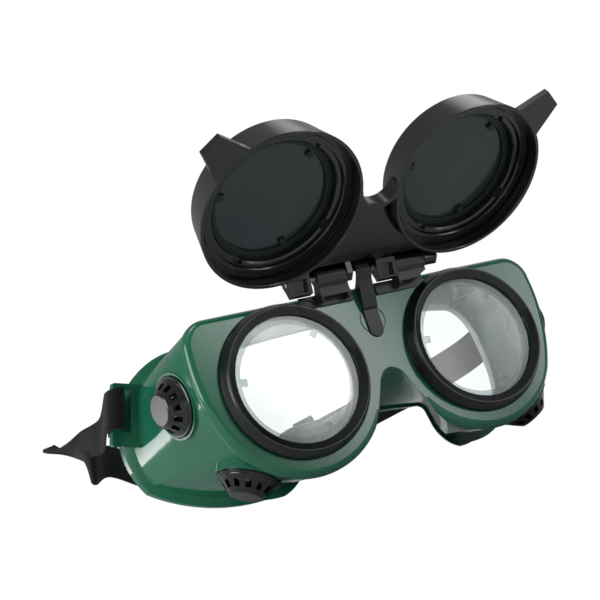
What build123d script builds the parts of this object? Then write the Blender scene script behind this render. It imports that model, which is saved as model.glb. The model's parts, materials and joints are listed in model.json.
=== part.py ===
from build123d import *
import os
from math import cos, radians, sin, sqrt

# Flip-front welding goggles, millimetres.
# Frame: X to the right as seen from the front, Y towards the face, Z up.
# Origin: midway between the two lens centres, on the outer surface of the front plate.
# The flip front is drawn shut, then turned up to its rest position.

# Lenses and their spacing
LENS_R = 25.0
LENS_THICK = 2.0
EYE_X = 39.1
EYES = {"left": -EYE_X, "right": EYE_X}

# Goggle body
WALL = 2.2
PLATE_DEPTH = 3.6
PLATE_ROUND = 2.6
STEP = 0.5
REAR_Y = 68.0
NOSE_REAR_Y = 44.0
HEAD_R = 150.0
HEAD_FRONT_Y = 32.5
LIP_WIDTH = 3.2
LIP_THICK = 1.8
SEAL_THICK = 4.0
SEAL_INSET = 1.6
SEAL_LIFT = 1.6
GAP = 0.05
LOBE_R = 35.4

# Lens mounting on the body
OPENING_R = 23.6
COLLAR_R = 26.85
COLLAR_H = 2.8
GASKET_THICK = 1.0
GASKET_IN_R = 21.4
RING_BASE_R = 29.4
RING_FACE_R = 27.2
RING_H = 5.3
RING_LIP_R = 24.0

# Vents
TEMPLE_VENT = (18.7, 5.0)
LOW_VENT_Y = 16.0
LOW_VENT_DEG = 39.0
LOW_VENT_DIR = (0.42, 0.02, -0.91)
LOW_VENT_SINK = 0.3
BOSS_DEPTH = 3.4
SEAT_RISE = 0.4
VENT_SLOT_R = 8.3
VENT_SLOT_LONG = 3.1
VENT_SLOT_WIDE = 2.1
VENT_R = 11.5
VENT_TOP_R = 5.6
VENT_H = 7.0
VENT_HOLE_R = 8.0
VENT_SLOTS = 12

# Gasket nibs
NIB = 2.6
NIB_DEG = (50, 170, 290)
FILTER_NIB_DEG = (70, 190, 310)
FILTER_VIEW_R = 22.0
FILTER_RING_R = 26.75

# Centre clip and staking pegs, as (x, z) on the plate
CLIP_W = 6.0
CLIP_TOP_Z = 20.0
CLIP_LOW_Z = 12.2
CLIP_RECESS = 0.6
GROOVE_R = 5.2
GROOVE_Z = 16.0
PEG_R = 0.9
CLIP_PEG = (0, 24.0)
BLOCK_PEGS = {"left": ((-18.0, 25.9), (-10.5, 25.9)), "right": ((11.0, 25.9), (18.0, 25.9))}
BLOCKS = {"left": (-27.5, -5.2), "right": (5.2, 27.0)}

# Flip front, drawn shut
HINGE_Y = -3.9
HINGE_Z = 34.7
OPEN_DEG = 124.4
FLIP_X = 39.3
RIM_R = 31.9
CUP_IN_R = 30.4
CUP_BACK_R = 28.6
CUP_Y = -0.5
CUP_DEPTH = 15.5
CUP_SWEEP_R = 31.4
CUP_CLEAR = 0.3
FLIP_FACE = 1.6
THREAD_R = 27.2
THREAD_FROM = 9.2
THREAD_PITCH = 0.9
THREADS = 5
SHELF_DEPTH = 5.2
WEB_DEPTH = 5.0
WEB_THICK = 1.6
WEB_TOP_Z = 30.5
WEB_TOP_X = 34.0
NOTCH_R = 7.6
NOTCH_Z = -3.9
TAB_R = 43.6
TAB_THICK = 2.6

# Hinge
PIN_R = 1.0
BARREL_R = 2.8
BARRELS = {"left": (-20.2, -7.7), "right": (14.1, 26.9)}
EARS = (
    (-32.4, -23.6, "block"),
    (-7.3, -5.0, "cheek"),
    (5.4, 13.7, "block"),
    (27.3, 33.0, "cheek"),
)

# Profiles about the hinge axis, drawn shut as (y, z): cover behind the barrels and ledge on the web
COVER = ((-1.6, -5.4), (-1.6, -4.2), (-3.2, -2.6), (-3.2, 2.4), (-4.4, 2.4), (-4.4, -3.6), (-3.2, -5.4))
LEDGE = ((-1.7, -5.2), (-1.25, -5.2), (-1.25, -4.5), (-1.7, -4.3))

# Strap
STRAP_W = 15.6
STRAP_T = 1.8
SLEEVE_R = 2.3
LOOP_AT = (82.8, 48.9, 11.1)
LOOP_OUT = (0.95, -0.17, 0.22)
LOOP_UP = (-0.25, -0.15, 0.957)
LOOP_REACH = 11.3
LOOP_ROOT = 3.0
LOOP_BAR = 2.6
LOOP_BAR_WIDE = 3.4
LOOP_SLOT = 4.2
LOOP_HIGH = 24.0
LOOP_ARM_TOP = 2.1
LOOP_ARM_LOW = 5.5
SLIDER_FROM = Vector(-22.0, 98.0, -14.0)
SLIDER_TO = Vector(34.0, 86.5, -2.5)


def at_depth(y):
    """Plane facing forward at depth y, with X to the right and Z up."""
    return Plane(origin=(0, y, 0), x_dir=(1, 0, 0), z_dir=(0, -1, 0))


def arc_centre(a, m, b):
    """Centre of the circle through three points."""
    (ax, ay), (mx, my), (bx, by) = a, m, b
    d = 2 * (ax * (my - by) + mx * (by - ay) + bx * (ay - my))
    a2, m2, b2 = ax * ax + ay * ay, mx * mx + my * my, bx * bx + by * by
    x = (a2 * (my - by) + m2 * (by - ay) + b2 * (ay - my)) / d
    y = (a2 * (bx - mx) + m2 * (ax - bx) + b2 * (mx - ax)) / d
    return x, y


def unit(x, y):
    """Vector of length 1."""
    size = sqrt(x * x + y * y)
    return x / size, y / size


def left_normals(a, m, b):
    """Left-hand normals at the start, middle and end of a line (m is None) or an arc."""
    chord = unit(b[0] - a[0], b[1] - a[1])
    side = (-chord[1], chord[0])
    if m is None:
        return side, side, side
    cx, cy = arc_centre(a, m, b)
    normals = [unit(p[0] - cx, p[1] - cy) for p in (a, m, b)]
    dot = normals[1][0] * side[0] + normals[1][1] * side[1]
    sign = 1 if dot > 0 else -1
    return tuple((sign * x, sign * y) for x, y in normals)


def half_outline(points, grow):
    """Edges through (joint, middle or None, joint, ...), moved to their left by an amount."""
    joints = points[0::2]
    middles = points[1::2]
    normals = [left_normals(a, m, b) for a, m, b in zip(joints, middles, joints[1:])]
    moved = []
    for k, (x, z) in enumerate(joints):
        before = normals[max(k - 1, 0)][2]
        after = normals[min(k, len(normals) - 1)][0]
        if k == 0:
            before = after
        nx, nz = unit(before[0] + after[0], before[1] + after[1])
        reach = grow / (nx * after[0] + nz * after[1])
        moved.append((0 if x == 0 else x + nx * reach, z + nz * reach))
    edges = []
    for k, middle in enumerate(middles):
        if middle is None:
            edges.append(Line(moved[k], moved[k + 1]))
        else:
            nx, nz = normals[k][1]
            bend = (middle[0] + nx * grow, middle[1] + nz * grow)
            edges.append(ThreePointArc(moved[k], bend, moved[k + 1]))
    return edges


def closed_outline(points, grow=0.0):
    """Face inside a half outline and its mirror image, moved outwards by an amount."""
    half = Curve() + half_outline(points, grow)
    return make_face(half + mirror(half, Plane.YZ))


def turned(points, x=0.0):
    """Solid of revolution about a lens axis, from (radius, depth) points."""
    profile = make_face(Polyline(*points, close=True))
    return Pos(x, 0, 0) * revolve(profile, Axis.Y)


def lobe(degrees):
    """Point on the round lobe below a lens."""
    return EYE_X + LOBE_R * cos(radians(degrees)), LOBE_R * sin(radians(degrees))


def front_outline():
    """Front plate without its nose notch: flat top, slanting sides and two round lobes."""
    return [
        (0, 30), None, (66, 30),
        (73.2, 27.0), (76.3, 19.5),
        (75.6, 0.5), lobe(-31),
        lobe(-55), lobe(-78),
        lobe(-112), lobe(-145),
        None, (0, lobe(-145)[1]),
    ]  # fmt: skip


def rear_outline():
    """Outline that the walls run towards, level with the temples' rear edge."""
    return [
        (0, 28.5), None, (64, 28.5),
        (79.5, 23.0), (87.4, 8),
        (88.6, -4), (86.4, -15),
        (73, -24.4), (48, -26.6),
        (38.5, -25.4), (33, -19.5),
        None, (0, -19.5),
    ]  # fmt: skip


def front_arch():
    """Nose notch at the front plate, open downwards."""
    return [
        (0, -2.8), (3.5, -4.4), (5.6, -8.0),
        None, (9.4, -17.0),
        None, (10.8, -20.5),
        None, (12.0, -24.0),
        None, (20, -34),
        None, (26, -60),
        None, (0, -60),
    ]  # fmt: skip


def rear_arch():
    """Nose notch near the face: a broad low saddle between the cups."""
    return [
        (0, -16.0), (8, -15.7), (16, -15.0),
        None, (30.0, -13.4),
        (33.2, -14.6), (34.6, -17.8),
        None, (35.2, -21.5),
        (38.2, -30.0), (48, -34.8),
        None, (60, -60),
        None, (0, -60),
    ]  # fmt: skip


def between(front, rear, y_front, y_rear, grow=0.0):
    """Ruled solid between two outlines at two depths, both moved outwards by an amount."""
    sections = [
        at_depth(y_front) * closed_outline(front, grow),
        at_depth(y_rear) * closed_outline(rear, grow),
    ]
    return loft(sections, ruled=True)


def head(clearance=0.0):
    """Upright cylinder that stands for the wearer's face: everything stops in front of it."""
    centre_y = HEAD_FRONT_Y + HEAD_R
    return Pos(0, centre_y, 0) * Cylinder(HEAD_R + clearance, 200)


def shell_solid(amount, y_front):
    """The body's envelope moved outwards by an amount, with the nose notch taken out."""
    walls = between(front_outline(), rear_outline(), y_front, REAR_Y, amount)
    return walls - nose_notch(-amount)


def nose_notch(grow=0.0):
    """Space for the wearer's nose."""
    return between(front_arch(), rear_arch(), -1.0, NOSE_REAR_Y, grow)


def rim_band(outer, inner, near, far):
    """Band along the rear rim, between two outlines and two distances in front of the face."""
    solid = between(front_outline(), rear_outline(), WALL, REAR_Y + 8, outer)
    solid -= nose_notch(-min(outer, STEP))
    solid -= shell_solid(inner, 0)
    return solid & (head(far) - head(near))


def front_plate():
    """Flat plate with a rounded outer edge, standing slightly proud of the walls behind it."""
    plate = extrude(at_depth(PLATE_DEPTH) * closed_outline(front_outline()), PLATE_DEPTH)
    front = plate.faces().sort_by(Axis.Y)[0]
    return fillet(front.edges(), PLATE_ROUND) - nose_notch()


def seat_plane(shell, start, direction, facing=None):
    """Plane on the outside of a wall, found along a ray from inside; facing turns it half-way that way."""
    along = Vector(*direction)
    hits = shell.find_intersection_points(Axis(start, direction))
    point, normal = max(hits, key=lambda hit: (hit[0] - Vector(*start)).dot(along))
    outward = normal if normal.dot(along) > 0 else -normal
    if facing:
        outward = outward + Vector(*facing).normalized()
    return Plane(origin=point, z_dir=outward)


def vent_seats():
    """Seats of the four vents: one on each temple wall and one below each eye."""
    envelope = shell_solid(-STEP, PLATE_DEPTH - STEP)
    seats = {}
    low = radians(LOW_VENT_DEG)
    for side, x in EYES.items():
        out = 1 if x > 0 else -1
        start = (x, TEMPLE_VENT[0], TEMPLE_VENT[1])
        seats[f"temple_{side}"] = seat_plane(envelope, start, (out, 0, 0))
        facing = (out * LOW_VENT_DIR[0], LOW_VENT_DIR[1], LOW_VENT_DIR[2])
        down = (out * sin(low), 0, -cos(low))
        seat = seat_plane(envelope, (x, LOW_VENT_Y, 0), down, facing)
        seats[f"lower_{side}"] = seat.offset(-LOW_VENT_SINK)
    return seats


def loop_frame(out):
    """Frame of a strap loop: X outwards from the temple wall, Z up along the bar."""
    arm = Vector(out * LOOP_OUT[0], LOOP_OUT[1], LOOP_OUT[2])
    up = Vector(out * LOOP_UP[0], LOOP_UP[1], LOOP_UP[2])
    return Plane(origin=(out * LOOP_AT[0], LOOP_AT[1], LOOP_AT[2]), x_dir=arm, z_dir=up)


def strap_loop(out):
    """Rectangular strap loop on a temple wall; out is -1 for the left and 1 for the right."""
    body = Pos((LOOP_REACH - LOOP_ROOT) / 2, 0, 0) * Box(LOOP_REACH + LOOP_ROOT, LOOP_BAR, LOOP_HIGH)
    slot_x = LOOP_REACH - LOOP_BAR_WIDE - LOOP_SLOT / 2
    slot_high = LOOP_HIGH - LOOP_ARM_TOP - LOOP_ARM_LOW
    slot_z = (LOOP_ARM_LOW - LOOP_ARM_TOP) / 2
    body -= Pos(slot_x, 0, slot_z) * Box(LOOP_SLOT, 3 * LOOP_BAR, slot_high)
    uprights = body.edges().filter_by(Axis.Y).sort_by(Axis.X)[-2:]
    return loop_frame(out) * fillet(uprights, 1.0)


def goggle_body(seats):
    """Green moulding: two eye cups under one plate, lens collars, rim lip and strap loops."""
    inner = shell_solid(-STEP - WALL, WALL)
    body = front_plate() + shell_solid(-STEP, PLATE_DEPTH - STEP)
    for seat in seats.values():
        depth = BOSS_DEPTH + SEAT_RISE
        body += seat * Pos(0, 0, SEAT_RISE - depth / 2) * Cylinder(VENT_R + 1.0, depth)
        body -= seat * Pos(0, 0, VENT_H / 2) * Cylinder(VENT_R + 0.3, VENT_H)
    bosses = [
        seat * Pos(0, 0, -BOSS_DEPTH + WALL / 2) * Cylinder(VENT_HOLE_R + 1.6, WALL)
        for seat in seats.values()
    ]
    hollow = inner
    for boss in bosses:
        hollow -= boss
    body -= hollow
    for out in (-1, 1):
        body += strap_loop(out) - inner
    body -= head()
    body += rim_band(LIP_WIDTH, -STEP - WALL, 0, LIP_THICK)
    for seat in seats.values():
        body -= seat * Cylinder(VENT_HOLE_R + GAP, 12)
        body -= seat * Pos(0, 0, -BOSS_DEPTH - 2) * Cylinder(VENT_HOLE_R + 0.7, 4)
    for x in EYES.values():
        body -= turned([(0, -1), (OPENING_R, -1), (OPENING_R, 6), (0, 6)], x)
        low = LENS_R + 0.1
        body += turned([(low, 0), (COLLAR_R, 0), (COLLAR_R, -COLLAR_H), (low, -COLLAR_H)], x)
    groove = Circle(GROOVE_R + 0.2) - Circle(GROOVE_R - 0.2)
    body -= at_depth(0.3) * extrude(Pos(0, GROOVE_Z) * groove, 1)
    body -= at_depth(CLIP_RECESS) * extrude(clip_pad(0.2), CLIP_RECESS + 1)
    for x, z in (CLIP_PEG, *BLOCK_PEGS["left"], *BLOCK_PEGS["right"]):
        body -= Pos(x, 0, z) * Rot(90, 0, 0) * Cylinder(PEG_R + GAP, 2 * WALL + 1)
    return body


def clip_pad(grow=0.0):
    """Outline of the clip's lower pad, with a round end."""
    half = CLIP_W / 2 + grow
    pad = Pos(0, (CLIP_TOP_Z + CLIP_LOW_Z) / 2) * Rectangle(2 * half, CLIP_TOP_Z - CLIP_LOW_Z)
    return pad + Pos(0, CLIP_LOW_Z) * Circle(half)


def face_seal():
    """Soft edging behind the rim lip, against the face."""
    band = rim_band(LIP_WIDTH - SEAL_INSET, -STEP - WALL - 2.0, -GAP - SEAL_THICK, -GAP)
    return band & Pos(0, 0, SEAL_LIFT) * band


def lens_parts(x):
    """Clear lens, its soft gasket with three nibs, and the screw ring that holds them."""
    clear = turned([(0, -GASKET_THICK), (LENS_R, -GASKET_THICK), (LENS_R, -3.0), (0, -3.0)], x)
    gasket = turned(
        [(GASKET_IN_R, 0), (LENS_R, 0), (LENS_R, -GASKET_THICK), (GASKET_IN_R, -GASKET_THICK)], x
    )
    for a in NIB_DEG:
        gasket += lens_nib(x, GASKET_IN_R, -GASKET_THICK, 0, a)
    ring = turned(
        [
            (COLLAR_R + GAP, -3.0),
            (COLLAR_R + GAP, -0.1),
            (RING_BASE_R - 0.3, -0.1),
            (RING_BASE_R, -0.4),
            (RING_BASE_R - 0.3, -1.8),
            (RING_FACE_R + 0.5, -RING_H + 0.5),
            (RING_FACE_R, -RING_H),
            (RING_FACE_R - 0.4, -RING_H),
            (RING_LIP_R + 0.6, -4.1),
            (RING_LIP_R + 0.1, -3.9),
            (RING_LIP_R, -3.0),
        ],
        x,
    )
    return clear, gasket, ring


def lens_nib(x, r_in, y_front, y_back, degrees):
    """Small square nib that stands inwards from a gasket's inner edge."""
    nib = Pos(r_in - NIB / 2 + 0.2, 0, 0) * Box(NIB + 0.4, y_back - y_front, NIB)
    return Pos(x, (y_front + y_back) / 2, 0) * Rot(0, -degrees, 0) * nib


def vent_cap(seat):
    """Snap-in vent screen: flange, slotted cone with a flat top, and a hollow stem."""
    cap = revolve(
        make_face(
            Polyline(
                (VENT_R - 0.3, 0),
                (VENT_R, 0.4),
                (VENT_R, 1.0),
                (VENT_R - 0.5, 1.3),
                (VENT_R - 0.9, 1.3),
                (VENT_R - 1.0, 1.7),
                (VENT_TOP_R + 0.5, VENT_H - 0.3),
                (VENT_TOP_R, VENT_H),
                (0, VENT_H),
                (0, VENT_H - 1.2),
                (VENT_TOP_R - 0.6, VENT_H - 1.2),
                (VENT_HOLE_R - 1.2, 2.6),
                (VENT_HOLE_R - 1.2, -BOSS_DEPTH - 0.8),
                (VENT_HOLE_R, -BOSS_DEPTH - 0.8),
                (VENT_HOLE_R + 0.5, -BOSS_DEPTH - 0.1),
                (VENT_HOLE_R, -BOSS_DEPTH - 0.1),
                (VENT_HOLE_R, 0),
                close=True,
            ).rotate(Axis.X, 90)
        ),
        Axis.Z,
    )
    for k in range(VENT_SLOTS):
        cut = Pos(VENT_SLOT_R, 0, 4.3) * Rot(0, 48, 0) * Box(VENT_SLOT_LONG, VENT_SLOT_WIDE, 5)
        cap -= Rot(0, 0, (k + 0.5) * 360 / VENT_SLOTS) * cut
    return seat * cap


def vent_baffle(seat):
    """Light trap inside a vent stem: a disc on four feet that lets air pass round it."""
    r = VENT_HOLE_R - 1.2 - GAP
    baffle = Pos(0, 0, 0.2) * Cylinder(r - 1.0, 0.8)
    for k in range(4):
        baffle += Rot(0, 0, 90 * k) * Pos(r - 1.0, 0, 0.2) * Box(1.6, 1.6, 0.8)
    return seat * (baffle & Cylinder(r, 6))


def hinge_bar(x0, x1, points):
    """Prism along X with a (y, z) profile drawn about the hinge axis."""
    profile = [(HINGE_Y + y, HINGE_Z + z) for y, z in points]
    plane = Plane(origin=(x0, 0, 0), x_dir=(0, 1, 0), z_dir=(1, 0, 0))
    return extrude(plane * make_face(Polyline(*profile, close=True)), x1 - x0)


def hinge_rod(x0, x1, r):
    """Round rod on the hinge axis."""
    return Pos((x0 + x1) / 2, HINGE_Y, HINGE_Z) * Rot(0, 90, 0) * Cylinder(r, x1 - x0)


def hinge_block(side):
    """Black hinge block on the top of the plate: base, one barrel and two staking pegs."""
    x0, x1 = BARRELS[side]
    top = [(2.9, -9.7), (3.9, -9.7), (3.9, -4.9), (2.9, -5.3)]
    skirt = [
        (-2.8, 0),
        (-2.3, -2.4),
        (-1.15, -4.0),
        (-1.0, -7.4),
        (3.9, -7.4),
        (3.9, -4.9),
        (2.2, -2),
        (2.8, 0),
    ]
    foot = [(-0.9, -7.4), (-0.4, -8.8), (3.9, -8.8), (3.9, -7.4)]
    block = hinge_bar(BLOCKS[side][0], BLOCKS[side][1], top)
    block += hinge_bar(x0, x1, skirt) + hinge_rod(x0, x1, BARREL_R)
    for a in (x0, x1 - 1.3):
        block += hinge_bar(a, a + 1.3, foot)
    block -= hinge_rod(x0 - 1, x1 + 1, PIN_R + GAP)
    for x in EYES.values():
        block -= turned([(0, -5), (RING_BASE_R + 0.4, -5), (RING_BASE_R + 0.4, 5), (0, 5)], x)
    for out in (-1, 1):
        block -= cup_sweep(out)
    for x, z in BLOCK_PEGS[side]:
        block += peg(x, z)
    return block


def cup_sweep(out):
    """Space in front of the plate that a cup's rim passes through between shut and open."""
    profile = [(FLIP_X - 9, HINGE_Z - 20), (FLIP_X - 21, HINGE_Z - 20)]
    for across in range(21, 8, -2):
        profile.append((FLIP_X - across, sqrt(CUP_SWEEP_R**2 - across**2) + 0.1))
    face = at_depth(HINGE_Y) * make_face(Polyline(*profile, close=True))
    sweep = revolve(face, Axis((0, HINGE_Y, HINGE_Z), (1, 0, 0)))
    rim_y = CUP_Y + GAP
    rim = RIM_R + CUP_CLEAR
    sweep &= Pos(0, rim_y - 20, HINGE_Z) * Box(200, 40, 60)
    sweep += turned([(0, -9), (rim, -9), (rim, rim_y), (0, rim_y)], FLIP_X)
    return sweep if out > 0 else mirror(sweep, Plane.YZ)


def peg(x, z):
    """Staking peg through the front plate, with its head flattened inside."""
    shank = Pos(x, (WALL - 0.3) / 2, z) * Rot(90, 0, 0) * Cylinder(PEG_R, WALL + 0.7)
    head_disc = Pos(x, WALL + 0.35, z) * Rot(90, 0, 0) * Cylinder(PEG_R + 0.4, 0.6)
    return shank + head_disc


def detent_clip():
    """Leaf clip in the middle of the hinge: hooked top, raised strip and a pad in the plate's recess."""
    side = [
        (CLIP_RECESS, CLIP_LOW_Z),
        (-0.6, CLIP_LOW_Z),
        (-0.9, CLIP_TOP_Z),
        (-2.0, CLIP_TOP_Z + 0.3),
        (-4.6, 30.6),
        (-5.6, 32.4),
        (-6.3, 34.6),
        (-5.8, 36.4),
        (-4.4, 37.2),
        (-3.3, 36.9),
        (-4.4, 35.9),
        (-5.1, 34.6),
        (-4.4, 33.2),
        (-2.8, 31.4),
        (-0.05, 29.0),
        (-0.05, CLIP_TOP_Z),
        (CLIP_RECESS, CLIP_TOP_Z - 0.2),
    ]
    plane = Plane(origin=(-CLIP_W / 2, 0, 0), x_dir=(0, 1, 0), z_dir=(1, 0, 0))
    leaf = extrude(plane * make_face(Polyline(*side, close=True)), CLIP_W)
    end = at_depth(CLIP_RECESS) * extrude(Pos(0, CLIP_LOW_Z) * Circle(CLIP_W / 2), CLIP_RECESS + 0.6)
    return leaf + end + peg(*CLIP_PEG)


def shut_to_open(shape):
    """Turn a piece of the flip front from shut to its rest position about the hinge."""
    return shape.rotate(Axis((0, HINGE_Y, HINGE_Z), (1, 0, 0)), -OPEN_DEG)


def cup_at(points, x):
    """Turned ring of a flip cup, from (radius, depth below the rim) points."""
    return turned([(r, CUP_Y - depth) for r, depth in points], x)


def flip_frame():
    """Black flip front: two cups, the web between them, hinge ears and finger tabs."""
    touch_x = FLIP_X * NOTCH_R / (RIM_R + NOTCH_R)
    touch_z = NOTCH_Z - NOTCH_Z * NOTCH_R / (RIM_R + NOTCH_R)
    web = make_face(
        Polyline(
            (-WEB_TOP_X, WEB_TOP_Z),
            (-FLIP_X + 4, 26),
            (-FLIP_X + 8, 0),
            (-touch_x, touch_z),
            (touch_x, touch_z),
            (FLIP_X - 8, 0),
            (FLIP_X - 4, 26),
            (WEB_TOP_X, WEB_TOP_Z),
            close=True,
        )
    )
    web -= Pos(0, NOTCH_Z) * Circle(NOTCH_R)
    floor = at_depth(CUP_Y - WEB_DEPTH) * extrude(web, WEB_THICK)
    notch_wall = Circle(NOTCH_R + 1.6) - Circle(NOTCH_R)
    notch_wall &= Pos(0, 20) * Rectangle(2 * touch_x + 2, 40 - 2 * touch_z + 2 * NOTCH_Z)
    wall = at_depth(CUP_Y) * extrude(Pos(0, NOTCH_Z) * notch_wall, WEB_DEPTH + WEB_THICK)
    frame = floor + wall
    for x in (-FLIP_X, FLIP_X):
        frame -= cup_at([(0, -1), (RIM_R - 0.8, -1), (CUP_BACK_R - 0.8, CUP_DEPTH), (0, CUP_DEPTH)], x)
    for x in (-FLIP_X, FLIP_X):
        frame += flip_cup(x)
        frame += finger_tab(x)
    block = [(-3.2, -5.0), (0.7, -4.4), (5.9, 1.2), (4.1, 3.8), (1.5, 3.0), (-1.8, 2.4), (-3.2, 0.5)]
    cheek = [(-3.2, -5.0), (-0.8, -4.6), (2.4, -1.8), (2.6, 1.6), (0, 3.0), (-2.2, 2.0), (-3.2, 0)]
    window = [(2.9, -4.0), (5.8, 0.3), (3.8, 1.8), (1.1, -1.9)]
    frame += hinge_bar(EARS[0][0], EARS[-1][1], COVER)
    for x0, x1 in BARRELS.values():
        frame += hinge_bar(x0 - 2, x1 + 0.6, LEDGE)
    for x0, x1, profile in EARS:
        ear = hinge_bar(x0, x1, block if profile == "block" else cheek)
        if profile == "block":
            ear -= hinge_bar(x0 + 1.6, x1 - 1.6, window)
        frame += ear
        frame -= hinge_rod(x0 - 0.5, x1 + 0.5, PIN_R)
    return frame


def flip_cup(x):
    """One filter cup: tapered wall, threaded collar inside and a front flange round the opening."""
    r_mid = THREAD_R + 1.2
    return cup_at(
        [
            (RIM_R - 0.3, 0),
            (RIM_R, 0.3),
            (CUP_BACK_R + 0.4, CUP_DEPTH - 1.2),
            (CUP_BACK_R - 0.6, CUP_DEPTH - 0.1),
            (CUP_BACK_R - 1.6, CUP_DEPTH),
            (OPENING_R, CUP_DEPTH),
            (OPENING_R, CUP_DEPTH - FLIP_FACE),
            (THREAD_R, CUP_DEPTH - FLIP_FACE),
            *thread(),
            (THREAD_R, SHELF_DEPTH),
            (r_mid, SHELF_DEPTH),
            (r_mid, SHELF_DEPTH + 0.8),
            (CUP_IN_R - 0.5, SHELF_DEPTH + 0.8),
            (CUP_IN_R, 0.3),
            (CUP_IN_R + 0.2, 0),
        ],
        x,
    )


def thread():
    """Profile of the thread ridges above the screw ring, from deep to shallow."""
    ridges = []
    for k in range(THREADS):
        depth = THREAD_FROM - k * THREAD_PITCH
        ridges += [(THREAD_R, depth), (THREAD_R - 0.35, depth - THREAD_PITCH / 2)]
    return ridges


def finger_tab(x):
    """Trapezoid tab at the cup's outer corner, level with the rim."""
    out = 1 if x > 0 else -1
    tab = make_face(Polyline((29.5, -8.3), (TAB_R, -4.2), (TAB_R, 4.2), (29.5, 8.3), close=True))
    tab = Rot(0, 0, -45) * tab
    tab -= Circle(RIM_R - 0.6)
    tab = tab if out > 0 else mirror(tab, Plane.YZ)
    return Pos(x, 0, 0) * at_depth(CUP_Y) * extrude(tab, TAB_THICK)


def filter_parts(x):
    """Cover lens, dark filter lens, gasket and notched screw ring of a flip cup, front to back."""
    base = CUP_DEPTH - FLIP_FACE
    cover = cup_at([(0, base), (LENS_R, base), (LENS_R, base - 1.0), (0, base - 1.0)], x)
    glass = cup_at([(0, base - 1.0), (LENS_R, base - 1.0), (LENS_R, base - 3.0), (0, base - 3.0)], x)
    face = base - 3.0
    gasket = cup_at(
        [(FILTER_VIEW_R, face), (26.9, face), (26.9, face - 1.2), (FILTER_VIEW_R, face - 1.2)],
        x,
    )
    for a in FILTER_NIB_DEG:
        gasket += lens_nib(x, FILTER_VIEW_R, CUP_Y - face, CUP_Y - face + 1.2, a)
    face -= 1.2
    ring = cup_at(
        [
            (24.4, face),
            (FILTER_RING_R, face),
            (FILTER_RING_R, face - 3.4),
            (25.0, face - 3.4),
            (24.4, face - 2.8),
        ],
        x,
    )
    for a in (30, 120, 210, 300):
        notch = Pos(24.9, CUP_Y - face + 3.4, 0) * Box(2.2, 2.4, 4.2)
        ring -= Pos(x, 0, 0) * Rot(0, -a, 0) * notch
    return cover, glass, gasket, ring


def strap_path():
    """Strap centre line and the direction across its width, from the left loop to the right loop."""
    left_bar = Plane(bar_frame(-1))
    right_bar = Plane(bar_frame(1))
    return [
        (left_bar.origin + Vector(-0.4, 3.0, 0.4), left_bar.z_dir),
        (Vector(-93.6, 64, 12.0), Vector(0, -0.3, 1)),
        (Vector(-96.5, 84, 11.5), Vector(0, -0.5, 1)),
        (Vector(-99.0, 102, 13.0), Vector(0, -0.4, 1)),
        (Vector(-97.0, 115, 13.0), Vector(0.2, -0.2, 1)),
        (Vector(-88.0, 119, 8.0), Vector(0.2, 0, 1)),
        (Vector(-76.0, 112, 0.5), Vector(0, 0.3, 1)),
        (Vector(-60.0, 106, -5.5), Vector(0, 0.4, 1)),
        (SLIDER_FROM, Vector(0, 0.4, 1)),
        (SLIDER_TO, Vector(0, 0.4, 1)),
        (Vector(66.0, 81, 4.0), Vector(0, 0.3, 1)),
        (Vector(86.0, 75, 9.5), Vector(0, 0.1, 1)),
        (Vector(95.0, 63, 13.5), Vector(0, -0.1, 1)),
        (right_bar.origin + Vector(0.4, 3.0, 0.4), right_bar.z_dir),
    ]


def bar_frame(out):
    """Frame at the middle of a strap loop's outer bar, with Z along the bar."""
    slot_z = (LOOP_ARM_LOW - LOOP_ARM_TOP) / 2
    return loop_frame(out) * Pos(LOOP_REACH - LOOP_BAR_WIDE / 2, 0, slot_z)


def strap_section(path, k):
    """Cross-section of the strap at one station of its path."""
    here, across = path[k]
    before = path[max(k - 1, 0)][0]
    after = path[min(k + 1, len(path) - 1)][0]
    if here == SLIDER_FROM or here == SLIDER_TO:
        before, after = SLIDER_FROM, SLIDER_TO
    along = (after - before).normalized()
    face_dir = along.cross(across).normalized()
    return Plane(origin=here, x_dir=face_dir, z_dir=along) * Rectangle(STRAP_T, STRAP_W)


def strap():
    """Elastic strap: a sleeve round each loop bar and one long band behind the head."""
    path = strap_path()
    band = loft([strap_section(path, k) for k in range(len(path))], ruled=True)
    for out in (-1, 1):
        bar = bar_frame(out)
        sleeve = Cylinder(SLEEVE_R + STRAP_T, STRAP_W + 0.6) - Cylinder(SLEEVE_R, STRAP_W + 1)
        band -= bar * Cylinder(SLEEVE_R, STRAP_W + 2)
        band += bar * sleeve
    return band


def strap_slider():
    """Adjusting slider on the strap's straight run."""
    along = (SLIDER_TO - SLIDER_FROM).normalized()
    face_dir = along.cross(Vector(0, 0.4, 1)).normalized()
    middle = (SLIDER_FROM + SLIDER_TO) * 0.5
    frame = Plane(origin=middle, x_dir=face_dir, z_dir=along)
    slider = Box(STRAP_T + 3.2, STRAP_W + 6, 9)
    slider = fillet(slider.edges().filter_by(Axis.Z), 1.2)
    slider -= Box(STRAP_T + 0.2, STRAP_W + 0.4, 20)
    slider -= Pos(STRAP_T, 0, 0) * Box(STRAP_T + 4, STRAP_W - 2, 4)
    return frame * slider


def write(name, shape):
    """Write one piece to its own file."""
    export_step(shape, f"parts/{name}.step")


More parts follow.
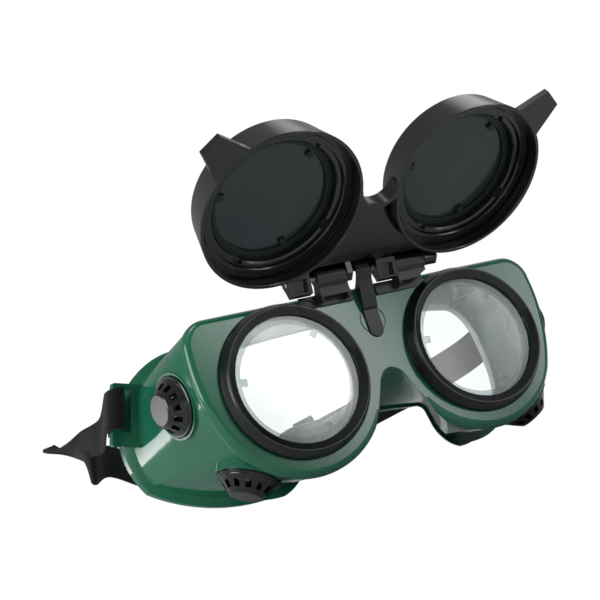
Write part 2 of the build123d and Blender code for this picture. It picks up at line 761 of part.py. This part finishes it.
def main():
    os.makedirs("parts", exist_ok=True)
    seats = vent_seats()
    write("goggle_body", goggle_body(seats))
    write("face_seal", face_seal())
    for name, seat in seats.items():
        write(f"vent_cap_{name}", vent_cap(seat))
        write(f"vent_baffle_{name}", vent_baffle(seat))
    for side, x in EYES.items():
        clear, gasket, ring = lens_parts(x)
        write(f"clear_lens_{side}", clear)
        write(f"lens_gasket_{side}", gasket)
        write(f"lens_ring_{side}", ring)
        cover, glass, filter_gasket, filter_ring = filter_parts(FLIP_X if x > 0 else -FLIP_X)
        write(f"cover_lens_{side}", shut_to_open(cover))
        write(f"filter_lens_{side}", shut_to_open(glass))
        write(f"filter_gasket_{side}", shut_to_open(filter_gasket))
        write(f"filter_ring_{side}", shut_to_open(filter_ring))
    write("flip_frame", shut_to_open(flip_frame()))
    write("hinge_block_left", hinge_block("left"))
    write("hinge_block_right", hinge_block("right"))
    write("detent_clip", detent_clip())
    write("hinge_pin_left", hinge_rod(EARS[0][0], EARS[1][1], PIN_R))
    write("hinge_pin_right", hinge_rod(EARS[2][0], EARS[3][1], PIN_R))
    write("strap", strap())
    write("strap_slider", strap_slider())


main()
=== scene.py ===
import json
import math

import bmesh
import bpy
from mathutils import Matrix, Quaternion, Vector

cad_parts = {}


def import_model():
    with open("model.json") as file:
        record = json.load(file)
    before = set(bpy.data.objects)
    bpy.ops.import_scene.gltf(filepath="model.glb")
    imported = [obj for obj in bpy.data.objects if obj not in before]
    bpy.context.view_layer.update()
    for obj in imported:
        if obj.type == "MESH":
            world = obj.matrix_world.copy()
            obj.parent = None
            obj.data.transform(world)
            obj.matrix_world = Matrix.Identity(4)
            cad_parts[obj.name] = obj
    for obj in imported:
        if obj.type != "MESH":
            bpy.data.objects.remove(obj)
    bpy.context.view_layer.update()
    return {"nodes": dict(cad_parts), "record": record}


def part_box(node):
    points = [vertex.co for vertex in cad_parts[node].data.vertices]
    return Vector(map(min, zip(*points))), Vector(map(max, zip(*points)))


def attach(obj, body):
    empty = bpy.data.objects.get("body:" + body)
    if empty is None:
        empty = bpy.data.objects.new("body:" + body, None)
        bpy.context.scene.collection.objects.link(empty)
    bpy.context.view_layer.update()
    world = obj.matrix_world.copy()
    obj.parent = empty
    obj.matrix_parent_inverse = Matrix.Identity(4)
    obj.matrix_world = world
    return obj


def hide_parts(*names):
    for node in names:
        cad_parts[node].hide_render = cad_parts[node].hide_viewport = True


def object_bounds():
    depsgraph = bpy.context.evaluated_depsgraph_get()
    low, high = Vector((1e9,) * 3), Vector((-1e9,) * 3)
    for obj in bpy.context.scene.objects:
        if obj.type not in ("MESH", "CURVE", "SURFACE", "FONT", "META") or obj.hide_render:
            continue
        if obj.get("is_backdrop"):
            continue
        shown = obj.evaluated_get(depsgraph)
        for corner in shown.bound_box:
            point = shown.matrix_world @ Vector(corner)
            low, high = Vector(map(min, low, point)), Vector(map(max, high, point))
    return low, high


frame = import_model()
NODES = frame["nodes"]
MM = 0.001
SIDES = ("left", "right")


# ---------------------------------------------------------------- materials


def new_material(name):
    """An empty node material, its tree and its output node."""
    material = bpy.data.materials.new(name)
    material.use_nodes = True
    tree = material.node_tree
    tree.nodes.clear()
    return material, tree, tree.nodes.new("ShaderNodeOutputMaterial")


def node(tree, kind, **values):
    """A shader node with its properties and inputs set by name."""
    made = tree.nodes.new(kind)
    for key, value in values.items():
        if hasattr(made, key):
            setattr(made, key, value)
        else:
            made.inputs[key.replace("_", " ")].default_value = value
    return made


def object_coordinates(tree):
    """Object-space coordinates, which are metres in the shared frame."""
    return tree.nodes.new("ShaderNodeTexCoord").outputs["Object"]


def noise(tree, scale, detail=3.0, roughness=0.55, stretch=(1, 1, 1)):
    """Noise value over object space; scale is in features per metre."""
    mapping = node(tree, "ShaderNodeMapping")
    mapping.inputs["Scale"].default_value = stretch
    tree.links.new(object_coordinates(tree), mapping.inputs["Vector"])
    made = node(tree, "ShaderNodeTexNoise", Scale=scale, Detail=detail, Roughness=roughness)
    tree.links.new(mapping.outputs["Vector"], made.inputs["Vector"])
    return made.outputs["Fac"]


def remap(tree, value, low, high, from_low=0.3, from_high=0.7):
    """A value spread over a new range."""
    made = node(tree, "ShaderNodeMapRange")
    made.inputs["From Min"].default_value = from_low
    made.inputs["From Max"].default_value = from_high
    made.inputs["To Min"].default_value = low
    made.inputs["To Max"].default_value = high
    tree.links.new(value, made.inputs["Value"])
    return made.outputs["Result"]


def mixed(tree, factor, a, b):
    """Colour between a and b; each of them is a colour or a socket."""
    made = tree.nodes.new("ShaderNodeMix")
    made.data_type = "RGBA"
    tree.links.new(factor, made.inputs["Factor"])
    for socket, value in ((made.inputs[6], a), (made.inputs[7], b)):
        if isinstance(value, tuple):
            socket.default_value = (*value, 1)
        else:
            tree.links.new(value, socket)
    return made.outputs[2]


def rounded_normal(tree, radius_mm):
    """Normal that rounds off sharp moulded edges."""
    made = node(tree, "ShaderNodeBevel", Radius=radius_mm * MM)
    made.samples = 4
    return made.outputs["Normal"]


def bump(tree, height, strength, distance_mm, normal=None):
    """Bump from a height socket, on top of another normal."""
    made = node(tree, "ShaderNodeBump", Strength=strength, Distance=distance_mm * MM)
    tree.links.new(height, made.inputs["Height"])
    if normal is not None:
        tree.links.new(normal, made.inputs["Normal"])
    return made.outputs["Normal"]


def plastic(name, dark, light, rough, grain=0.0, edge=0.25, sheen_flow=0.02, coat=0.0, grain_scale=2500):
    """Moulded plastic: colour drift, flow waves, handling smudges and a fine mould grain."""
    material, tree, out = new_material(name)
    body = node(tree, "ShaderNodeBsdfPrincipled")
    drift = remap(tree, noise(tree, 35, 4), 0, 1)
    tree.links.new(mixed(tree, drift, dark, light), body.inputs["Base Color"])
    smudge = remap(tree, noise(tree, 90, 5, 0.65), rough[0], rough[1])
    tree.links.new(smudge, body.inputs["Roughness"])
    body.inputs["Coat Weight"].default_value = coat
    body.inputs["Coat Roughness"].default_value = 0.04
    normal = rounded_normal(tree, edge)
    normal = bump(tree, noise(tree, 28, 1.5), sheen_flow, 1.5, normal)
    if grain:
        normal = bump(tree, noise(tree, grain_scale, 2), grain, 0.06, normal)
    tree.links.new(normal, body.inputs["Normal"])
    tree.links.new(body.outputs["BSDF"], out.inputs["Surface"])
    return material


def see_through(name, tint, veil, veil_colour, rough, grazing=0.10):
    """Thin clear plastic: tinted pass-through, a reflection that grows at grazing angles, faint smears."""
    material, tree, out = new_material(name)
    clear = node(tree, "ShaderNodeBsdfTransparent", Color=(*tint, 1))
    shine = node(tree, "ShaderNodeBsdfAnisotropic", Color=(*veil_colour, 1), Roughness=rough)
    facing = node(tree, "ShaderNodeLayerWeight", Blend=0.35)
    rise = remap(tree, facing.outputs["Facing"], 0.0, grazing, 0.45, 1.0)
    smear = remap(tree, noise(tree, 60, 3, stretch=(1, 1, 0.25)), veil * 0.75, veil * 1.25)
    total = node(tree, "ShaderNodeMath", operation="ADD")
    tree.links.new(smear, total.inputs[0])
    tree.links.new(rise, total.inputs[1])
    mix = node(tree, "ShaderNodeMixShader")
    tree.links.new(total.outputs["Value"], mix.inputs["Fac"])
    tree.links.new(clear.outputs["BSDF"], mix.inputs[1])
    tree.links.new(shine.outputs["BSDF"], mix.inputs[2])
    tree.links.new(mix.outputs["Shader"], out.inputs["Surface"])
    return material


def woven(name, dark, light, rib_mm, pick_mm):
    """Ribbed elastic webbing: ribs along its length, finer picks across, uneven yarns. UVs are metres."""
    material, tree, out = new_material(name)
    body = node(tree, "ShaderNodeBsdfPrincipled", Roughness=0.85)
    body.inputs["Sheen Weight"].default_value = 0.12
    body.inputs["Specular IOR Level"].default_value = 0.25
    uv = tree.nodes.new("ShaderNodeUVMap")
    split = tree.nodes.new("ShaderNodeSeparateXYZ")
    tree.links.new(uv.outputs["UV"], split.inputs["Vector"])
    waves = []
    for axis, pitch in (("Y", rib_mm), ("X", pick_mm)):
        turns = node(tree, "ShaderNodeMath", operation="MULTIPLY")
        tree.links.new(split.outputs[axis], turns.inputs[0])
        turns.inputs[1].default_value = 2 * math.pi / (pitch * MM)
        wave = node(tree, "ShaderNodeMath", operation="SINE")
        tree.links.new(turns.outputs["Value"], wave.inputs[0])
        waves.append(wave.outputs["Value"])
    rib = remap(tree, waves[0], 0, 1, -1, 1)
    pick = remap(tree, waves[1], 0.75, 1, -1, 1)
    weave = node(tree, "ShaderNodeMath", operation="MULTIPLY")
    tree.links.new(rib, weave.inputs[0])
    tree.links.new(pick, weave.inputs[1])
    yarn = remap(tree, noise(tree, 900, 3), 0.7, 1.1)
    shade = node(tree, "ShaderNodeMath", operation="MULTIPLY")
    tree.links.new(weave.outputs["Value"], shade.inputs[0])
    tree.links.new(yarn, shade.inputs[1])
    tree.links.new(mixed(tree, shade.outputs["Value"], dark, light), body.inputs["Base Color"])
    normal = bump(tree, weave.outputs["Value"], 0.8, 0.25)
    tree.links.new(bump(tree, noise(tree, 1800, 2), 0.25, 0.08, normal), body.inputs["Normal"])
    tree.links.new(body.outputs["BSDF"], out.inputs["Surface"])
    return material


GREEN = plastic("green_plastic", (0.010, 0.128, 0.066), (0.015, 0.160, 0.085), (0.08, 0.13), coat=0.3)
BLACK = plastic(
    "black_plastic", (0.004, 0.0045, 0.005), (0.007, 0.0075, 0.0085), (0.15, 0.24), grain=0.10, coat=0.35
)
GRAINED = plastic("black_grained", (0.006, 0.0065, 0.007), (0.010, 0.011, 0.012), (0.32, 0.42), grain=0.5)
RING = plastic("black_ring", (0.004, 0.0045, 0.005), (0.007, 0.0075, 0.0085), (0.20, 0.30), grain=0.12)
DARK_RUBBER = plastic("dark_rubber", (0.003, 0.008, 0.006), (0.006, 0.013, 0.010), (0.45, 0.6), grain=0.2)
STEEL = plastic("drawn_steel", (0.25, 0.26, 0.27), (0.38, 0.39, 0.40), (0.2, 0.3), grain=0.1)
VINYL = plastic("pale_vinyl", (0.82, 0.84, 0.81), (0.92, 0.93, 0.91), (0.4, 0.55), grain=0.2)
CLEAR = see_through("clear_lens", (0.930, 0.950, 0.945), 0.06, (0.96, 0.97, 0.97), 0.08)
PALE_GASKET = see_through("pale_gasket", (0.66, 0.70, 0.71), 0.05, (0.70, 0.74, 0.75), 0.40, 0.02)
WEBBING = woven("woven_elastic", (0.003, 0.003, 0.0035), (0.013, 0.013, 0.014), 0.75, 0.55)


def dark_filter():
    """Dark welding glass: nearly opaque grey-green with a soft reflection."""
    material, tree, out = new_material("dark_filter")
    glass = node(tree, "ShaderNodeBsdfPrincipled", Roughness=0.12)
    drift = remap(tree, noise(tree, 25, 2), 0, 1)
    tint = mixed(tree, drift, (0.022, 0.034, 0.034), (0.032, 0.046, 0.047))
    tree.links.new(tint, glass.inputs["Base Color"])
    tree.links.new(bump(tree, noise(tree, 15, 1), 0.02, 1.0), glass.inputs["Normal"])
    tree.links.new(glass.outputs["BSDF"], out.inputs["Surface"])
    return material


FILTER = dark_filter()


def paint(name, material):
    """Give a carried-over CAD node its node material."""
    NODES[name].data.materials.clear()
    NODES[name].data.materials.append(material)


def paint_nodes():
    """Node materials of every CAD node."""
    paint("goggle_body", GREEN)
    paint("strap_slider", BLACK)
    paint("flip_frame", BLACK)
    paint("detent_clip", GRAINED)
    for side in SIDES:
        paint(f"hinge_block_{side}", GRAINED)
        paint(f"hinge_pin_{side}", STEEL)
        paint(f"clear_lens_{side}", CLEAR)
        paint(f"lens_gasket_{side}", PALE_GASKET)
        paint(f"lens_ring_{side}", RING)
        paint(f"cover_lens_{side}", CLEAR)
        paint(f"filter_lens_{side}", FILTER)
        paint(f"filter_gasket_{side}", DARK_RUBBER)
        paint(f"filter_ring_{side}", BLACK)
        for place in ("temple", "lower"):
            paint(f"vent_cap_{place}_{side}", BLACK)
            paint(f"vent_baffle_{place}_{side}", BLACK)


paint_nodes()


# ---------------------------------------------------------------- soft pieces

STRAP_HALF = 7.7
STRAP_THICK = 1.3
SELVEDGE = 0.3
EDGING_VOXEL = 0.7
FLOOR_GAP = 0.5
# Edges of the slack left end, as offsets in mm from the left loop: upper edge, then lower edge
SLACK = (
    ((-1.0, 15.6, 2.3), (-1.0, 26.0, -9.3)),
    ((-2.6, 24.7, 2.0), (-1.7, 37.1, -8.1)),
    ((-4.4, 37.1, 3.0), (-1.9, 50.0, -6.0)),
    ((-6.9, 49.8, 2.0), (-1.5, 63.7, -1.0)),
    ((-9.4, 61.4, 2.4), (-2.7, 71.6, 2.7)),
    ((-11.4, 66.6, 3.8), (-4.6, 75.0, 5.3)),
    ((-12.4, 69.9, 5.6), (-5.5, 77.0, 7.8)),
    ((-8.4, 65.8, 2.7), (-1.8, 73.2, 2.5)),
    ((-3.4, 56.1, 0.2), (1.1, 57.5, -6.6)),
    ((-2.4, 38.7, -6.0), (-2.4, 45.8, -17.7)),
    ((9.8, 50.0, -3.0), (7.7, 53.0, -15.4)),
)
# Wrap round a loop bar, as (outwards, backwards) offsets in mm from the bar
WRAP = (
    (-0.3, 10.0),
    (-2.2, 4.6),
    (-3.1, 0.9),
    (-2.4, -2.2),
    (0, -3.2),
    (2.4, -2.2),
    (3.1, 0.9),
    (2.6, 5.2),
)


def mount(name):
    """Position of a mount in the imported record, in mm."""
    for entry in frame["record"]["mounts"]:
        if entry["name"] == name:
            return Vector(entry["pos_m"]) / MM


def bar_axis(name):
    """Direction along a loop's bar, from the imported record."""
    for entry in frame["record"]["mounts"]:
        if entry["name"] == name:
            return Vector(entry["axis"]).normalized()


def joint_axis(name):
    """Direction of a joint's axis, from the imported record."""
    for joint in frame["record"]["behaviour"]["joints"]:
        if joint["name"] == name:
            return Vector(joint["axis"])


def wrapped(name, out, offsets):
    """Strap edges wound round a loop's bar, parallel to it."""
    half = bar_axis(name) * STRAP_HALF
    middles = [mount(name) + Vector((out * away, back, 0)) for away, back in offsets]
    return [(middle + half, middle - half) for middle in middles]


def leaning(point, lean):
    """Strap edges for a strap that leans by (y, z) across its width."""
    across = Vector((0, *lean)).normalized() * STRAP_HALF
    return point + across, point - across


def strap_edges():
    """Upper and lower edge points of the whole strap, from the left loop round to the right one."""
    left = mount("strap_loop_left")
    low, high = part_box("strap_slider")
    slider = (low + high) / 2 / MM
    axis = joint_axis("slider_travel")
    edges = wrapped("strap_loop_left", -1, WRAP)
    edges += [(left + Vector(a), left + Vector(b)) for a, b in SLACK]
    edges.append(leaning(Vector((-60, 106, -5.5)), (0.4, 1)))
    edges += [leaning(slider + axis * reach, (0.4, 1)) for reach in (-29, -10, 10, 29)]
    edges.append(leaning(Vector((66, 81, 4)), (0.3, 1)))
    edges.append(leaning(Vector((86, 75, 9.5)), (0.1, 1)))
    edges += wrapped("strap_loop_right", 1, ((3.4, 16),))
    edges += wrapped("strap_loop_right", 1, tuple(reversed(WRAP)))
    return edges


def between_points(p0, p1, p2, p3, t):
    """Point between p1 and p2 on a smooth curve through four points."""
    a = 2 * p1
    b = p2 - p0
    c = 2 * p0 - 5 * p1 + 4 * p2 - p3
    d = 3 * p1 - p0 - 3 * p2 + p3
    return 0.5 * (a + b * t + c * t * t + d * t * t * t)


def smooth_rows(edges, steps):
    """Edge pairs with more rows, so that the strap bends smoothly."""
    rows = []
    last = len(edges) - 1
    for k in range(last):
        picks = [edges[max(k - 1, 0)], edges[k], edges[k + 1], edges[min(k + 2, last)]]
        for i in range(steps):
            rows.append(tuple(between_points(*(e[side] for e in picks), i / steps) for side in (0, 1)))
    rows.append(edges[last])
    return rows


def ribbon(name, edges, steps=7, columns=10):
    """Flat woven band through edge pairs in mm, with UVs in metres and rounded selvedges."""
    rows = smooth_rows(edges, steps)
    mesh = bmesh.new()
    uv = mesh.loops.layers.uv.new("weave")
    grid = []
    travelled = 0.0
    lengths = []
    for k, (a, b) in enumerate(rows):
        if k:
            travelled += ((a + b) / 2 - (rows[k - 1][0] + rows[k - 1][1]) / 2).length
        lengths.append(travelled)
        grid.append([mesh.verts.new(a.lerp(b, c / columns) * MM) for c in range(columns + 1)])
    width = 2 * STRAP_HALF * MM
    for k in range(len(rows) - 1):
        for c in range(columns):
            face = mesh.faces.new((grid[k][c], grid[k + 1][c], grid[k + 1][c + 1], grid[k][c + 1]))
            face.smooth = True
            spots = ((k, c), (k + 1, c), (k + 1, c + 1), (k, c + 1))
            for loop, (row, column) in zip(face.loops, spots):
                loop[uv].uv = (lengths[row] * MM, width * column / columns)
    made = new_object(name, mesh, WEBBING)
    solid = made.modifiers.new("thickness", "SOLIDIFY")
    solid.thickness = STRAP_THICK * MM
    solid.offset = 0
    edge = made.modifiers.new("selvedge", "BEVEL")
    edge.width = SELVEDGE * MM
    edge.segments = 2
    edge.limit_method = "ANGLE"
    return made


def new_object(name, mesh, material):
    """Link a bmesh as an object with a material."""
    data = bpy.data.meshes.new(name)
    mesh.to_mesh(data)
    mesh.free()
    data.materials.append(material)
    made = bpy.data.objects.new(name, data)
    bpy.context.scene.collection.objects.link(made)
    return made


def edging():
    """Soft vinyl edging: the seal's solid with every edge rounded over like extruded trim."""
    mesh = bmesh.new()
    mesh.from_mesh(NODES["face_seal"].data)
    made = new_object("soft_edging", mesh, VINYL)
    voxels = made.modifiers.new("even", "REMESH")
    voxels.mode = "VOXEL"
    voxels.voxel_size = EDGING_VOXEL * MM
    voxels.use_smooth_shade = True
    relax = made.modifiers.new("round", "SMOOTH")
    relax.factor = 0.6
    relax.iterations = 6
    return made


head_strap = ribbon("woven_strap", strap_edges())
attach(head_strap, "frame")
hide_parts("strap")
seal = edging()
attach(seal, "frame")
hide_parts("face_seal")


# ---------------------------------------------------------------- stage


def floor():
    """Pale floor, seen only from above; glossy rays see it brighter and bluer than camera and diffuse rays
    do, a painted reflection.
    """
    low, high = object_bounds()
    middle = (low + high) / 2
    bpy.ops.mesh.primitive_plane_add(size=6, location=(middle.x, middle.y, low.z - FLOOR_GAP * MM))
    ground = bpy.context.object
    ground.name = "floor"
    material, tree, out = new_material("pale_floor_painted_reflection")
    pale = tree.nodes.new("ShaderNodeBsdfDiffuse")
    path = tree.nodes.new("ShaderNodeLightPath")
    # Painted reflection: 0.86 grey for camera and diffuse rays, a brighter bluish white for glossy rays,
    # so the floor's mirror image in the goggles is lighter.
    shade = mixed(tree, path.outputs["Is Glossy Ray"], (0.86, 0.86, 0.855), (0.95, 0.97, 1.0))
    tree.links.new(shade, pale.inputs["Color"])
    through = node(tree, "ShaderNodeBsdfTransparent")
    side = node(tree, "ShaderNodeNewGeometry")
    mix = node(tree, "ShaderNodeMixShader")
    tree.links.new(side.outputs["Backfacing"], mix.inputs["Fac"])
    tree.links.new(pale.outputs["BSDF"], mix.inputs[1])
    tree.links.new(through.outputs["BSDF"], mix.inputs[2])
    tree.links.new(mix.outputs["Shader"], out.inputs["Surface"])
    ground.data.materials.append(material)
    ground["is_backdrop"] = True


def softbox(name, towards, distance, width, height, radiance, core, roll_deg):
    """Soft light that faces the object, turned about its own axis, fading from its core to its edge."""
    data = bpy.data.lights.new(name, "AREA")
    data.shape = "RECTANGLE"
    data.size = width
    data.size_y = height
    data.energy = math.pi * width * height
    data.use_nodes = True
    tree = data.node_tree
    tree.nodes.clear()
    out = tree.nodes.new("ShaderNodeOutputLight")
    glow = node(tree, "ShaderNodeEmission")
    place = tree.nodes.new("ShaderNodeNewGeometry")
    reach = node(tree, "ShaderNodeVectorMath", operation="DISTANCE")
    tree.links.new(place.outputs["Parametric"], reach.inputs[0])
    reach.inputs[1].default_value = (0.5, 0.5, 0)
    fade = node(tree, "ShaderNodeMapRange", interpolation_type="SMOOTHSTEP")
    fade.inputs["From Min"].default_value = core
    fade.inputs["From Max"].default_value = 0.5
    fade.inputs["To Min"].default_value = radiance
    fade.inputs["To Max"].default_value = 0.0
    tree.links.new(reach.outputs["Value"], fade.inputs["Value"])
    tree.links.new(fade.outputs["Result"], glow.inputs["Strength"])
    tree.links.new(glow.outputs["Emission"], out.inputs["Surface"])
    light = bpy.data.objects.new(name, data)
    bpy.context.scene.collection.objects.link(light)
    way = Vector(towards).normalized()
    light.location = way * distance
    light.rotation_mode = "QUATERNION"
    roll = Quaternion((0, 0, 1), math.radians(roll_deg))
    light.rotation_quaternion = way.to_track_quat("Z", "Y") @ roll
    light.visible_camera = False
    return light


def world():
    """White backdrop for the camera and a graded studio for reflections."""
    made = bpy.data.worlds.new("studio")
    bpy.context.scene.world = made
    made.use_nodes = True
    tree = made.node_tree
    tree.nodes.clear()
    out = tree.nodes.new("ShaderNodeOutputWorld")
    white = node(tree, "ShaderNodeBackground", Color=(1, 1, 1, 1), Strength=1.0)
    studio = node(tree, "ShaderNodeBackground", Strength=1.0)
    coordinates = tree.nodes.new("ShaderNodeTexCoord")
    split = tree.nodes.new("ShaderNodeSeparateXYZ")
    tree.links.new(coordinates.outputs["Generated"], split.inputs["Vector"])
    ramp = tree.nodes.new("ShaderNodeValToRGB")
    ramp.color_ramp.elements[0].position = 0.30
    ramp.color_ramp.elements[0].color = (0.04, 0.04, 0.04, 1)
    ramp.color_ramp.elements[1].position = 0.75
    ramp.color_ramp.elements[1].color = (0.28, 0.29, 0.30, 1)
    height = remap(tree, split.outputs["Z"], 0, 1, -1, 1)
    tree.links.new(height, ramp.inputs["Fac"])
    tree.links.new(ramp.outputs["Color"], studio.inputs["Color"])
    path = tree.nodes.new("ShaderNodeLightPath")
    mix = tree.nodes.new("ShaderNodeMixShader")
    tree.links.new(path.outputs["Is Camera Ray"], mix.inputs["Fac"])
    tree.links.new(studio.outputs["Background"], mix.inputs[1])
    tree.links.new(white.outputs["Background"], mix.inputs[2])
    tree.links.new(mix.outputs["Shader"], out.inputs["Surface"])


STRIP_ROLL = 31
# Softboxes: name, direction from the object, distance, width, height, radiance, core, roll in degrees
SOFTBOXES = (
    ("front_strip", (0.420, -0.870, 0.245), 1.4, 0.40, 1.3, 4.4, 0.04, STRIP_ROLL),
    ("right_box", (0.68, -0.73, 0.10), 1.4, 0.36, 0.9, 4.0, 0.05, STRIP_ROLL),
    ("low_box", (0.48, -0.80, -0.37), 1.4, 0.9, 0.30, 5.0, 0.1, 0),
    ("brow_box", (-0.14, -0.38, 0.91), 1.4, 0.7, 0.7, 5.6, 0.1, 0),
    ("left_box", (-0.70, 0.68, -0.18), 1.4, 0.9, 1.3, 8.0, 0.05, 0),
    ("left_fill", (-0.96, -0.20, 0.15), 1.4, 1.3, 1.6, 5.0, 0.2, 0),
    ("top_box", (0.53, 0.25, 0.81), 1.4, 0.8, 1.0, 1.2, 0.1, 0),
    ("key_box", (-0.35, -0.55, 0.76), 1.5, 0.8, 0.8, 1.0, 0.1, 0),
)


def lights():
    """Softboxes round the object: each flat or curved face mirrors one of them."""
    for entry in SOFTBOXES:
        softbox(*entry)


SENSOR_WIDTH = 36
FOCAL_LENGTH = 76.57
CAMERA_AT = (-0.2390, -0.4069, -0.0852)


def camera():
    """Camera low on the wearer's right, looking up at the raised front, rolled like a product shot."""
    data = bpy.data.cameras.new("camera")
    data.sensor_width = SENSOR_WIDTH
    data.lens = FOCAL_LENGTH
    data.clip_start = 0.01
    made = bpy.data.objects.new("camera", data)
    bpy.context.scene.collection.objects.link(made)
    right = Vector((0.875, -0.368, -0.315)).normalized()
    ahead = Vector((0.449, 0.860, 0.242)).normalized()
    up = right.cross(ahead).normalized()
    right = ahead.cross(up).normalized()
    turn = Matrix((right, up, -ahead)).transposed()
    made.matrix_world = Matrix.Translation(Vector(CAMERA_AT)) @ turn.to_4x4()
    bpy.context.scene.camera = made


floor()
world()
lights()
camera()
bpy.context.scene.view_settings.view_transform = "Standard"
